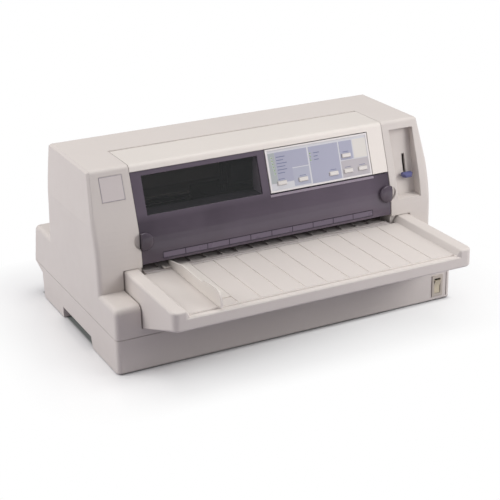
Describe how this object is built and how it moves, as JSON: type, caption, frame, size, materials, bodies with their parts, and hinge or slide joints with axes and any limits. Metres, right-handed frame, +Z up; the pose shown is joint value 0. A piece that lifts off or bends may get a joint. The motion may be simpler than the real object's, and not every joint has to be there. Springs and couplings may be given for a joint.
{
  "type": "dot matrix printer",
  "caption": "Flatbed dot matrix printer with a smoked lift-up front cover, sloping control panel, front paper table with a sliding edge guide and a working carriage and paper feed",
  "frame": {"origin": "centre of the whole part's footprint at table level", "axes": "+X to the printer's right seen from the front, -Y out of its front, +Z up"},
  "size_m": [0.492, 0.407, 0.239],
  "materials": {
    "case_plastic": "fine grain",
    "cream_plastic": "fine grain",
    "panel_plastic": "smooth",
    "panel_print": "satin printed sheet",
    "key_plastic": "smooth",
    "badge_plastic": "satin",
    "smoked_plastic": "smoked transparent acrylic",
    "well_plastic": "satin",
    "slate_plastic": "smooth",
    "dark_plastic": "fine grain",
    "black_plastic": "fine grain",
    "gear_plastic": "smooth",
    "lamp_green": "translucent",
    "foot_rubber": "matt",
    "platen_rubber": "ground",
    "belt_rubber": "toothed inside",
    "ribbon_fabric": "inked woven",
    "plated_steel": "zinc plated",
    "ground_steel": "ground",
    "aluminium_metal": "turned",
    "dark_metal": "black paint",
    "sintered_brass": "sintered",
    "circuit_board": "solder mask"
  },
  "bodies": {
    "case": {"base_case": "case_plastic", "upper_case": "case_plastic", "rubber_feet": "foot_rubber", "case_screws": "plated_steel", "front_tray": "case_plastic", "badge_plate": "badge_plastic", "panel_housing": "panel_plastic", "panel_sheet": "panel_print", "panel_board": "circuit_board", "indicator_lamps": "lamp_green", "panel_bracket": "plated_steel", "chassis_pan": "plated_steel", "left_side_frame": "plated_steel", "right_side_frame": "plated_steel", "shaft_bushes": "sintered_brass", "entry_guide": "dark_plastic", "exit_guide": "dark_plastic", "guide_shaft": "ground_steel", "rear_rail": "plated_steel", "carriage_motor": "dark_metal", "drive_belt": "belt_rubber", "idler_axles": "ground_steel", "gear_plate": "plated_steel", "feed_motor": "dark_metal", "switch_frame": "cream_plastic", "main_board": "circuit_board", "power_supply": "circuit_board", "mains_inlet": "black_plastic", "data_connector": "plated_steel"},
    "cover": {"top_cover": "cream_plastic", "smoked_window": "smoked_plastic", "window_well": "well_plastic"},
    "carriage": {"carriage_frame": "dark_plastic", "print_head": "dark_metal", "ribbon_cartridge": "black_plastic", "ribbon_band": "ribbon_fabric"},
    "ribbon_knob_body": {"ribbon_knob": "black_plastic"},
    "drive_pulley_body": {"drive_pulley": "aluminium_metal"},
    "idler_pulley_body": {"idler_pulley": "aluminium_metal"},
    "platen": {"platen_roller": "platen_rubber", "platen_gear": "gear_plastic"},
    "front_feed": {"front_feed_roller": "platen_rubber", "front_feed_gear": "gear_plastic"},
    "rear_feed": {"rear_feed_roller": "platen_rubber", "rear_feed_gear": "gear_plastic"},
    "front_pinch": {"front_pinch_roller": "dark_plastic"},
    "rear_pinch": {"rear_pinch_roller": "dark_plastic"},
    "front_idler": {"front_idler_gear": "gear_plastic"},
    "rear_idler": {"rear_idler_gear": "gear_plastic"},
    "pinion": {"motor_pinion": "sintered_brass"},
    "lever": {"gap_lever": "plated_steel", "lever_knob": "slate_plastic"},
    "rocker": {"power_rocker": "cream_plastic"},
    "guide": {"edge_guide": "cream_plastic"},
    "key_1_body": {"key_1": "key_plastic"},
    "key_2_body": {"key_2": "key_plastic"},
    "key_3_body": {"key_3": "key_plastic"},
    "key_4_body": {"key_4": "key_plastic"},
    "key_5_body": {"key_5": "key_plastic"},
    "key_6_body": {"key_6": "key_plastic"}
  },
  "joints": [
    {"name": "cover_hinge", "type": "hinge", "parent": "case", "child": "cover", "pos_m": [0, 0.0395, 0.235], "axis": [-1, 0, 0], "range_deg": [0, 75]},
    {"name": "carriage_slide", "type": "slide", "parent": "case", "child": "carriage", "axis": [1, 0, 0], "range_m": [-0.104, 0.117]},
    {"name": "ribbon_knob_turn", "type": "hinge", "parent": "carriage", "child": "ribbon_knob_body", "pos_m": [-0.047, -0.0025, 0.167], "axis": [0, 0, 1], "continuous": true},
    {"name": "drive_pulley_turn", "type": "hinge", "parent": "case", "child": "drive_pulley_body", "pos_m": [-0.16, 0.0865, 0.137], "axis": [0, 0, 1], "continuous": true},
    {"name": "idler_pulley_turn", "type": "hinge", "parent": "case", "child": "idler_pulley_body", "pos_m": [0.156, 0.0865, 0.137], "axis": [0, 0, 1], "continuous": true},
    {"name": "platen_turn", "type": "hinge", "parent": "case", "child": "platen", "pos_m": [0, 0.0265, 0.095], "axis": [1, 0, 0], "continuous": true},
    {"name": "front_feed_turn", "type": "hinge", "parent": "case", "child": "front_feed", "pos_m": [0, -0.0005, 0.09867], "axis": [1, 0, 0], "continuous": true},
    {"name": "rear_feed_turn", "type": "hinge", "parent": "case", "child": "rear_feed", "pos_m": [0, 0.0535, 0.09867], "axis": [1, 0, 0], "continuous": true},
    {"name": "front_idler_turn", "type": "hinge", "parent": "case", "child": "front_idler", "pos_m": [0.1843, 0.00882, 0.08566], "axis": [1, 0, 0], "continuous": true},
    {"name": "rear_idler_turn", "type": "hinge", "parent": "case", "child": "rear_idler", "pos_m": [0.1843, 0.04418, 0.08566], "axis": [1, 0, 0], "continuous": true},
    {"name": "pinion_turn", "type": "hinge", "parent": "case", "child": "pinion", "pos_m": [0.1843, 0.0625, 0.10939], "axis": [1, 0, 0], "continuous": true},
    {"name": "front_pinch_turn", "type": "hinge", "parent": "case", "child": "front_pinch", "pos_m": [0, -0.0005, 0.1114], "axis": [1, 0, 0], "continuous": true},
    {"name": "rear_pinch_turn", "type": "hinge", "parent": "case", "child": "rear_pinch", "pos_m": [0, 0.0535, 0.1114], "axis": [1, 0, 0], "continuous": true},
    {"name": "gap_lever_turn", "type": "hinge", "parent": "case", "child": "lever", "pos_m": [0.217, 0.0215, 0.178], "axis": [-1, 0, 0], "range_deg": [0, 24]},
    {"name": "rocker_turn", "type": "hinge", "parent": "case", "child": "rocker", "pos_m": [0.224, -0.1045, 0.0225], "axis": [1, 0, 0], "range_deg": [-16, 0]},
    {"name": "edge_guide_slide", "type": "slide", "parent": "case", "child": "guide", "axis": [1, 0, 0], "range_m": [-0.026, 0.28]},
    {"name": "key_1_press", "type": "slide", "parent": "case", "child": "key_1_body", "axis": [0, 0.9483, -0.3173], "range_m": [0, 0.0008], "stiffness_N_per_m": 600, "springref_m": -0.0003},
    {"name": "key_2_press", "type": "slide", "parent": "case", "child": "key_2_body", "axis": [0, 0.9483, -0.3173], "range_m": [0, 0.0008], "stiffness_N_per_m": 600, "springref_m": -0.0003},
    {"name": "key_3_press", "type": "slide", "parent": "case", "child": "key_3_body", "axis": [0, 0.9483, -0.3173], "range_m": [0, 0.0008], "stiffness_N_per_m": 600, "springref_m": -0.0003},
    {"name": "key_4_press", "type": "slide", "parent": "case", "child": "key_4_body", "axis": [0, 0.9483, -0.3173], "range_m": [0, 0.0008], "stiffness_N_per_m": 600, "springref_m": -0.0003},
    {"name": "key_5_press", "type": "slide", "parent": "case", "child": "key_5_body", "axis": [0, 0.9483, -0.3173], "range_m": [0, 0.0008], "stiffness_N_per_m": 600, "springref_m": -0.0003},
    {"name": "key_6_press", "type": "slide", "parent": "case", "child": "key_6_body", "axis": [0, 0.9483, -0.3173], "range_m": [0, 0.0008], "stiffness_N_per_m": 600, "springref_m": -0.0003}
  ],
  "couplings": [
    {"joint": "drive_pulley_turn", "follows": "carriage_slide", "rad_per_m": 112.36},
    {"joint": "idler_pulley_turn", "follows": "carriage_slide", "rad_per_m": 112.36},
    {"joint": "front_idler_turn", "follows": "platen_turn", "ratio": -1.5},
    {"joint": "rear_idler_turn", "follows": "platen_turn", "ratio": -1.5},
    {"joint": "front_feed_turn", "follows": "platen_turn", "ratio": 1.5},
    {"joint": "rear_feed_turn", "follows": "platen_turn", "ratio": 1.5},
    {"joint": "pinion_turn", "follows": "platen_turn", "ratio": -2}
  ]
}
